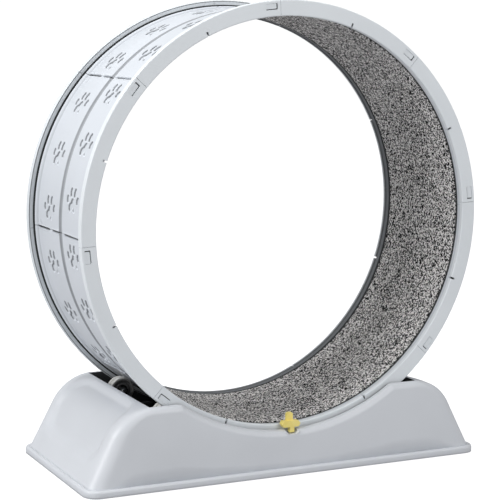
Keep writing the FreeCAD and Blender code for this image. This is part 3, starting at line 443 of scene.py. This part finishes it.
grids = []
for side_x in (-1, 1):
    for side_y, notch in ((-1, notch_half + notch_x * side_x), (1, 0)):
        x, y, z = quarter(notch)
        grids.append((x * side_x, y * side_y, z, False, False, False))
flange_length, flange_depth, flange_corner, flange_edge = 400.5 * mm, 180.5 * mm, 27 * mm, 4.5 * mm
flange_turn = np.linspace(0, math.pi / 2, 6)
flange = [(0, 1.5 * mm), (0, 6 * mm)]
flange += [(flange_edge * (1 - math.cos(turn)), wall_low + flange_edge * math.sin(turn))
           for turn in flange_turn]
flange += [(14 * mm, flange_top)]
grids.append((*ring(flange, flange_length, flange_depth, flange_corner), True, False, False))
post_x, post_y, post_radius, post_foot = 345 * mm, 143 * mm, 14 * mm, 3 * mm
boss_x, boss_y, boss_radius, boss_foot = 226.3 * mm, 80 * mm, 7 * mm, 64 * mm
for side_x, side_y in ((1, 1), (-1, 1), (-1, -1), (1, -1)):
    post = tube(side_x * post_x, side_y * post_y, post_radius, post_foot, under_roof)
    boss = tube(side_x * boss_x, side_y * boss_y, boss_radius, boss_foot, lambda x, y: pocket_z - 2 * mm)
    grids += [(*post, True, False, False), (*boss, True, False, False)]


def well_painted_shade(n):
    """Painted shade: 1 on the well's inside under the brim, within its sides and ends and above its foot,
    where the colour is painted nearly black for the shade in the well.
    """
    x, y, z = n.axes()
    margin, blur = 0.4 * mm, 0.3 * mm
    return ((level_x + margin - x.maths("ABSOLUTE")).step(0, blur) * z.step(48 * mm, 49 * mm)
            * (well_y + margin - y.maths("ABSOLUTE")).step(0, blur))


base_tint = (0.68, 0.705, 0.745)
# The well's inside is painted nearly black as shade; the Solidify's inner face takes the plain underside
# material.
shell = mesh_piece("moulded_base_shell", grids, moulded("base_polypropylene", base_tint, painted_shade=well_painted_shade))
wall = shell.modifiers.new("wall", "SOLIDIFY")
wall.thickness = 3 * mm
wall.offset = -1
shell.data.materials.append(moulded("base_underside", base_tint))
wall.material_offset = 1
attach(shell, "base")
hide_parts("base_shell")


# ---- feet ----
# Four round pads of black rubber, pressed into the posts that stand in the corners under the base.
# They lift the flange a little off the floor.

foot_rubber = material(
    "foot_rubber", lambda n: {
        "Base Color": n.mix(n.noise(90), (0.012, 0.012, 0.013, 1), (0.035, 0.035, 0.036, 1)),
        "Roughness": n.noise(40) * 0.2 + 0.65,
        "Normal": n.bump(n.noise(1800), 0.05 * mm)})
dressed("rubber_feet", foot_rubber)


# ---- roller carriers, screws and bolts ----
# A black glass-filled bracket in each end of the well, held by two zinc-plated screws, and a
# countersunk bolt with a nut through each roller.

bracket_plastic = material(
    "bracket_nylon", lambda n: {
        "Base Color": n.mix(n.noise(120), (0.010, 0.010, 0.011, 1), (0.028, 0.028, 0.03, 1)),
        "Roughness": n.noise(30) * 0.2 + 0.4,
        "Normal": n.bump(n.noise(1500), 0.05 * mm)}, IOR=1.5)


def plated(name, tint, roughness):
    """Plated or oiled steel with fine turning lines and dull patches."""
    return material(name, lambda n: {
        "Base Color": n.mix(n.noise(70), (*[c * 0.75 for c in tint], 1), (*tint, 1)),
        "Roughness": n.noise(150) * 0.2 + roughness,
        "Normal": n.bump(n.noise(2500, 1, (1, 0.1, 1)), 0.02 * mm)}, Metallic=1.0)


zinc = plated("zinc_plate", (0.62, 0.63, 0.65), 0.22)
ring_steel = plated("ring_steel", (0.55, 0.55, 0.56), 0.12)
dressed("roller_carrier_left", bracket_plastic)
dressed("roller_carrier_right", bracket_plastic)
for name in ("carrier_screws", "axle_bolts", "axle_nuts", "axle_spacers"):
    dressed(name, zinc)
dressed("bearing_inner_rings", ring_steel)


# ---- rollers ----
# A ribbed tyre of pale soft plastic moulded on a dark grey hub, with a shielded ball bearing in
# each side.


roller_y = 109 * mm


def tyre(n):
    """Pale rubber, rubbed grey on the roller's two sides."""
    from_middle = (n.axes()[1].maths("ABSOLUTE") - roller_y).maths("ABSOLUTE")
    side = from_middle.step(9.6 * mm, 10.4 * mm)
    tread = n.mix(n.noise(80, 4).step(0.35, 0.7), (0.6, 0.6, 0.57, 1), (0.82, 0.82, 0.8, 1))
    return {"Base Color": n.mix(side * 0.85, tread, (0.2, 0.2, 0.2, 1)),
            "Roughness": n.noise(60) * 0.2 + 0.45, "Normal": n.bump(n.noise(1500), 0.06 * mm)}


tyre_rubber = material("tyre_rubber", tyre)
hub_plastic = material(
    "hub_plastic", lambda n: {
        "Base Color": n.mix(n.noise(100), (0.1, 0.1, 0.105, 1), (0.17, 0.17, 0.175, 1)),
        "Roughness": n.noise(50) * 0.2 + 0.38,
        "Normal": n.bump(n.noise(1600), 0.04 * mm)}, IOR=1.5)
bearing_dark = plated("bearing_dark", (0.06, 0.06, 0.06), 0.3)
for place in ("front_left", "front_right", "rear_left", "rear_right"):
    dressed(f"roller_{place}_tyre", tyre_rubber)
    dressed(f"roller_{place}_hub", hub_plastic)
    dressed(f"roller_{place}_bearings", bearing_dark)


# ---- track panels ----
# Eight panels moulded in polypropylene make the drum's band: a groove round the middle, paw prints
# pressed into the face, and along each edge a flared strip and a shoulder on which the rims clip.

segments = 8
segment, joint_gap, panel_start = math.radians(45), math.radians(0.09), math.radians(-2.8)
track_radius, track_edge, floor_radius = 385 * mm, 121 * mm, 380 * mm
groove_depth, groove_edge = 4 * mm, 10 * mm
bead_height = 1.7 * mm
paw_pitch, paw_row = math.radians(15), 58 * mm
front_paw, rear_paw = math.radians(6.9), math.radians(3.1)
paw_depth, paw_wall, paw_rim = 2.2 * mm, 1.1 * mm, 0.45 * mm
slot_depth, slot_lip = 3.2 * mm, 0.7 * mm
slot_spans = (-96 * mm, -18 * mm), (6 * mm, 46 * mm), (58 * mm, 119 * mm)
end_round = 1.2 * mm
tongue_near, tongue_far, tongue_angle, tongue_depth = 30 * mm, 100 * mm, math.radians(1.6), 2.5 * mm


def cornered(points, radii, steps=4):
    """A path through (along the axis, radius) points, with arcs of those radii at its corners."""
    path = []
    for i, (corner, radius) in enumerate(zip(points, radii)):
        corner = np.array(corner)
        if radius == 0 or i in (0, len(points) - 1):
            path.append(corner)
            continue
        back, on = (np.array(points[i + turn]) - corner for turn in (-1, 1))
        back, on = back / np.hypot(*back), on / np.hypot(*on)
        half = math.acos(np.clip(back @ on, -1, 1)) / 2
        middle = corner + (back + on) / np.hypot(*(back + on)) * radius / math.sin(half)
        start, end = (corner + way * radius / math.tan(half) - middle for way in (back, on))
        for share in np.linspace(0, 1, steps):
            arm = start * (1 - share) + end * share
            path.append(middle + arm / np.hypot(*arm) * radius)
    return np.array(path)


def pressed_paw(u, v):
    """How far a point is inside the print: the most of four oval toes and a pad of three blended circles."""

    def oval(middle_u, middle_v, half_u, half_v, lean):
        """How far it is inside a leaning oval, by its distance in units of the oval's half widths."""
        turn = math.radians(lean)
        across = (u - middle_u * mm) * math.cos(turn) - (v - middle_v * mm) * math.sin(turn)
        along = (u - middle_u * mm) * math.sin(turn) + (v - middle_v * mm) * math.cos(turn)
        return (1 - np.hypot(across / (half_u * mm), along / (half_v * mm))) * half_u * mm

    toes = [oval(-23.5, 0.5, 5.4, 7.2, -24), oval(-9, 13.5, 5.6, 8.2, -8),
            oval(9, 13.5, 5.6, 8.2, 8), oval(23.5, 0.5, 5.4, 7.2, 24)]
    softness = 2.2 * mm
    pads = [7.5 * mm - np.hypot(u, v + 3.5 * mm)]
    pads += [8.5 * mm - np.hypot(u - side * 9.5 * mm, v + 13.5 * mm) for side in (-1, 1)]
    pad = softness * np.log(sum(np.exp(np.clip(part / softness, -30, 30)) for part in pads))
    return np.maximum.reduce(toes + [pad - softness * 0.4])


def prints(theta, y):
    """How far a place on the band is inside the nearest print of two rows, which repeat round the drum."""
    inside = []
    for row, first in ((-paw_row, front_paw), (paw_row, rear_paw)):
        angle = (theta - first + paw_pitch / 2) % paw_pitch - paw_pitch / 2
        inside.append(pressed_paw(y - row, angle * track_radius))
    return np.maximum(*inside)


def between(value, low, high, blur):
    """1 between low and high, with a smooth rise of that blur inside each end."""
    return rise(value, low, low + blur) * (1 - rise(value, high - blur, high))


def slots(y):
    """1 where the joint between two panels is an open slot, round the hooks that hold them together."""
    return sum(between(y, low, high, 2 * mm) for low, high in slot_spans)


def band_drop(theta, y, from_end):
    """How far the band's face lies under the track radius: groove, rimmed prints, slots with lips."""
    depth = np.clip(1 - np.hypot(y, 1.0 * mm) / groove_edge, 0, 1)
    drop = groove_depth * 1.1 * (0.6 * depth + 0.4 * rise(depth, 0.1, 0.9))
    inside = prints(theta, y)
    drop = drop + paw_depth * rise(inside, -paw_wall / 2, paw_wall / 2)
    drop = drop - paw_rim * rise(inside, -2.6 * mm, -1.4 * mm) * (1 - rise(inside, -1.2 * mm, -0.4 * mm))
    open_slot = slots(y) * (1 - rise(from_end, 1.2 * mm, 1.6 * mm))
    lip = slots(y) * rise(from_end, 1.4 * mm, 2.4 * mm) * (1 - rise(from_end, 3.2 * mm, 4.6 * mm))
    return drop + slot_depth * open_slot - slot_lip * lip


def crease_shade_mask(theta, y, from_end):
    """Painted shade, 1 where shade falls: on the prints' rear walls, in the groove darkest on its rear side,
    in the slots and by the strips.

    A print's rear wall is where a step rearwards leads out of the print.
    """
    inside = prints(theta, y)
    beyond = prints(theta + 0.45 * mm / track_radius, y + 0.9 * mm)
    wall = rise(inside, -1.1 * mm, -0.3 * mm) * (1 - rise(inside, 0.5 * mm, 1.5 * mm))
    wall = wall * rise(inside - beyond, 0, 0.5 * mm)
    # Painted shade in the groove, one-sided: darker towards its rear wall.
    groove = np.clip((y + 7 * mm) / (12 * mm), 0, 1) ** 1.5 * (1 - rise(y, 7.5 * mm, 9 * mm))
    open_slot = slots(y) * (1 - rise(from_end, 1.1 * mm, 1.5 * mm))
    strip_foot = rise(np.abs(y), 119 * mm, 120.5 * mm)
    return np.clip(0.8 * wall + 0.7 * groove + open_slot + 0.35 * strip_foot, 0, 1)


edge_corners = [(121, 385), (130, 389.5), (130, 386.5), (124.6, 383.6), (124.6, 376.5), (138, 376.5),
                (138, 373.5), (121.6, 373.5), (121.6, 380)]
edge_radii = [0, 1.0, 1.0, 0.6, 0.8, 0.5, 0.7, 0.8, 0]
edge = cornered(edge_corners, edge_radii) * mm
half_band = np.unique(np.concatenate([
    np.linspace(0, 11, 12), np.linspace(11, 28, 10), np.linspace(28, 88, 66), np.linspace(88, 121, 14)])) * mm
band = np.concatenate([-half_band[:0:-1], half_band])
step, tongue_play, recess_reach, bead_half = 0.05 * mm, 0.5 * mm, 0.6 * mm, 9 * mm
inside = np.array([tongue_far + tongue_play + step, tongue_far + tongue_play, tongue_near - tongue_play,
                   tongue_near - tongue_play - step, bead_half])
inner = np.concatenate([inside, [0], -inside[::-1]])
loop_y = np.concatenate([band, edge[1:, 0], inner, -edge[:0:-1, 0]])
loop_r = np.concatenate([np.full(len(band), track_radius), edge[1:, 1],
                         floor_radius - bead_height * (inner == 0), edge[:0:-1, 1]])
on_band = np.arange(len(loop_y)) < len(band)
outside = on_band | (np.abs(loop_y) > track_edge) & (loop_r > track_radius + 1 * mm)
in_recess = ((loop_r == floor_radius) & (np.abs(loop_y) > tongue_near - recess_reach)
             & (np.abs(loop_y) < tongue_far + recess_reach))

span = segment - joint_gap
ends = np.array([0, 0.2, 0.5, 0.9, 1.4, 1.9, 2.6, 3.4, 4.6]) * mm / track_radius
stations = np.unique(np.concatenate([
    ends, span - ends, [tongue_angle + joint_gap, tongue_angle + joint_gap + step / track_radius],
    np.linspace(ends[-1], span - ends[-1], 310)]))
turn, column = np.meshgrid(stations, np.arange(len(loop_y)), indexing="ij")
theta = panel_start + joint_gap / 2 + turn
y_grid = loop_y[column]
from_end = np.minimum(turn, span - turn) * track_radius
rounding = end_round - np.sqrt(end_round**2 - np.clip(end_round - from_end, 0, end_round) ** 2)
r_grid = loop_r[column] - np.where(on_band[column], band_drop(theta, y_grid, from_end), 0)
r_grid -= np.where(outside[column], rounding, 0)
r_grid += np.where(in_recess[column] & (turn < tongue_angle + joint_gap * 1.01), tongue_depth, 0)


def roller_track(n):
    """1 along the two lines on which the rollers run, in patches."""
    across = n.axes()[1].maths("ABSOLUTE")
    line = across.step(97 * mm, 99 * mm) * (1 - across.step(119 * mm, track_edge))
    return line * n.noise(25).step(0.2, 0.8)


def from_axle(n):
    """The distance from the drum's middle plane towards the rear, and from its axle."""
    x, y, z = n.axes()
    z = z - axle
    return y, (x * x + z * z).maths("SQRT")


shade_tone = 0.72


def panel_painted_shade(n):
    """Painted shade: the creases of the face, a painted shadow in the gap along the mat's edge and, in the
    rear, painted shade on the shoulder.
    """
    y, radius = from_axle(n)
    inward = 1 - radius.step(377 * mm, 377.3 * mm)
    gap_edge = 127.5 * mm, 127.7 * mm
    # Painted shadow in the gap by the mat's edge, and painted shade on the rear shoulder.
    gap = inward * (1 - y.maths("ABSOLUTE").step(*gap_edge))
    shaded = inward * y.step(*gap_edge) * shade_tone
    crease = n.add("Attribute", {"attribute_name": "crease"}, output=2) * (n.noise(50) * 0.2 + 0.8)
    return crease.maths("MAXIMUM", gap).maths("MAXIMUM", shaded)


panel_plastic = moulded("panel_polypropylene", (0.665, 0.7, 0.75), wear=roller_track, painted_shade=panel_painted_shade)
panel = mesh_piece("moulded_track_panel", [(r_grid * np.sin(theta), y_grid, axle + r_grid * np.cos(theta),
                                            False, True, True)], panel_plastic)
place = np.empty(len(panel.data.vertices) * 3)
panel.data.vertices.foreach_get("co", place)
x, y, z = place.reshape(-1, 3).T
theta = np.arctan2(x, z - axle)
turn = theta - panel_start - joint_gap / 2
# Painted shade for the face's creases, stored per point for the panel material.
shade_in_creases = crease_shade_mask(theta, y, np.minimum(turn, span - turn) * track_radius)
on_face = (np.hypot(x, z - axle) > track_radius - 8 * mm) & (np.abs(y) < track_edge + 0.1 * mm)
panel.data.attributes.new("crease", "FLOAT", "POINT").data.foreach_set("value", shade_in_creases * on_face)
to_axle = Matrix.Translation((0, 0, axle))
for k in range(segments):
    mesh = panel.data.copy()
    mesh.transform(to_axle @ Matrix.Rotation(segment * k, 4, "Y") @ to_axle.inverted())
    copy = bpy.data.objects.new(f"moulded_track_panel_{k + 1}", mesh)
    scene.collection.objects.link(copy)
    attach(copy, "drum")
    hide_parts(f"track_panel_{k + 1}")
bpy.data.objects.remove(panel)


# ---- rims ----
# Eight moulded polypropylene channels on each side clip over the panels' shoulders. Each reaches
# behind the next one with a latch tongue, whose face shows in a small window.


def rim_painted_shade(n):
    """Painted shadow and shade: 1 in the latch gaps and deep behind the rim, and a dull painted tone where
    its walls meet or are shaded.
    """
    y, radius = from_axle(n)
    side = y.maths("ABSOLUTE")
    face_back, wall_back, lip_top = 143.45 * mm, 133.9 * mm, 375 * mm
    gap_top, deep_top, wall_corner, wall_top = 397.2 * mm, 391.5 * mm, 397 * mm, 399 * mm
    before_wall = (side - wall_back).step(0, 0.1 * mm)
    over_lip = (radius - lip_top).step(0, 0.2 * mm)
    # Painted shadow: black in the latch gaps and deep behind the rim.
    black_top = before_wall * (gap_top - deep_top) + deep_top
    black = (face_back - side).step(0, 0.05 * mm) * over_lip * (black_top - radius).step(0, 0.2 * mm)
    # Painted shade: a dull tone on the back wall, a dark line in the gap under the lip, and the shaded rear
    # lip.
    back_wall = (1 - before_wall) * (wall_top - radius).step(0, 0.3 * mm)
    dull = back_wall * ((radius - wall_corner).step(0, 0.5 * mm) * 0.6 + 0.15)
    lip_gap = (1 - over_lip) * (1 - side.step(137.4 * mm, 137.6 * mm))
    rear_lip = (1 - over_lip) * y.step(0, 1 * mm) * (1 - y.step(141 * mm, 141.3 * mm)) * shade_tone
    return black.maths("MAXIMUM", dull).maths("MAXIMUM", lip_gap).maths("MAXIMUM", rear_lip)


rim_plastic = moulded("rim_polypropylene", (0.79, 0.83, 0.865), painted_shade=rim_painted_shade)
for k in range(segments):
    dressed(f"front_rim_{k + 1}", rim_plastic)
    dressed(f"rear_rim_{k + 1}", rim_plastic)


# ---- running mat ----
# A short, dense pile of black, grey and white fibres on a black foam backing, laid round the
# inside of the drum between the panels' shoulders.

foam = material(
    "foam_backing", lambda n: {
        "Base Color": n.mix(n.noise(500), (0.006, 0.006, 0.006, 1), (0.02, 0.02, 0.02, 1)),
        "Roughness": n.noise(100) * 0.1 + 0.85,
        "Normal": n.bump(n.noise(900), 0.2 * mm)})
dressed("mat_backing", foam)


def carpet(n):
    """Speckled tufts about 2 mm across: each cell of a warped pattern is mostly black or white."""
    warp = n.add("Mix", {"data_type": "VECTOR"}, {"Factor": 0.002, 4: n.place(), 5: n.add(
        "TexNoise", {}, {"Vector": n.place(), "Scale": 400.0, "Detail": 2.0}, output=1)}, output=1)
    tuft = n.add("TexVoronoi", {}, {"Vector": warp, "Scale": 450.0}, output=1)
    shade = n.add("SeparateColor", {}, {"Color": tuft}) * 0.8
    shade = shade + n.noise(900, 2) * 0.16 + n.noise(14, 2) * 0.1 - 0.03
    colour = n.add("ValToRGB", {"stops": [
        (0.42, (0.002, 0.002, 0.002)), (0.47, (0.06, 0.058, 0.058)), (0.52, (0.6, 0.58, 0.58)),
        (0.56, (1, 0.98, 0.97))]}, {"Fac": shade})
    return {"Base Color": colour, "Roughness": n.noise(330) * 0.1 + 0.88,
            "Normal": n.bump(n.noise(600, 2), 1.6 * mm)}


pile_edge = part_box("mat_pile")[1][1]
backing_radius, pile_radius, pile_corner, tuft_height = 376.4 * mm, 372.4 * mm, 1.5 * mm, 0.22 * mm
top_count, under_count, around_count = 80, 3, 780
pile_section = cornered([(pile_edge, backing_radius), (pile_edge, pile_radius), (0, pile_radius)],
                        [0, pile_corner, 0], 5)[:-1]
flat = pile_edge - pile_corner
across = np.concatenate([pile_section[:, 0], np.linspace(flat, -flat, top_count + 2)[1:-1],
                         -pile_section[::-1, 0], np.linspace(-pile_edge, pile_edge, under_count + 2)[1:-1]])
height = np.concatenate([pile_section[:, 1], np.full(top_count, pile_radius),
                         pile_section[::-1, 1], np.full(under_count, backing_radius)])
turns = np.linspace(0, 2 * math.pi, around_count, endpoint=False)
theta, column = np.meshgrid(turns, np.arange(len(across)), indexing="ij")
on_top = height[column] < pile_radius + pile_corner / 2
tuft = np.random.default_rng(5).normal(0, tuft_height, theta.shape) * on_top
radius = height[column] + np.abs(tuft)
grid = (radius * np.sin(theta), across[column], axle + radius * np.cos(theta), True, True, False)
mat = mesh_piece("carpet_pile", [grid], material("speckled_carpet", carpet), sharp=70)
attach(mat, "drum")
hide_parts("mat_pile")


# ---- lock key ----
# A yellow moulded key whose peg stands in the lip's notch. Pushed down between the lip and the rim,
# it holds the drum still.

key_plastic = material(
    "key_abs", lambda n: {
        "Base Color": n.mix(n.noise(60).step(0.3, 0.7), (0.9, 0.74, 0.2, 1), (0.95, 0.81, 0.28, 1)),
        "Roughness": n.noise(50) * 0.15 + 0.34,
        "Normal": n.bump(n.noise(1400), 0.03 * mm)}, IOR=1.5)
dressed("lock_key", key_plastic)
key_bevel = nodes["lock_key"].modifiers.new("soft", "BEVEL")
key_bevel.width = 1.2 * mm
key_bevel.segments = 3
key_bevel.limit_method = "ANGLE"
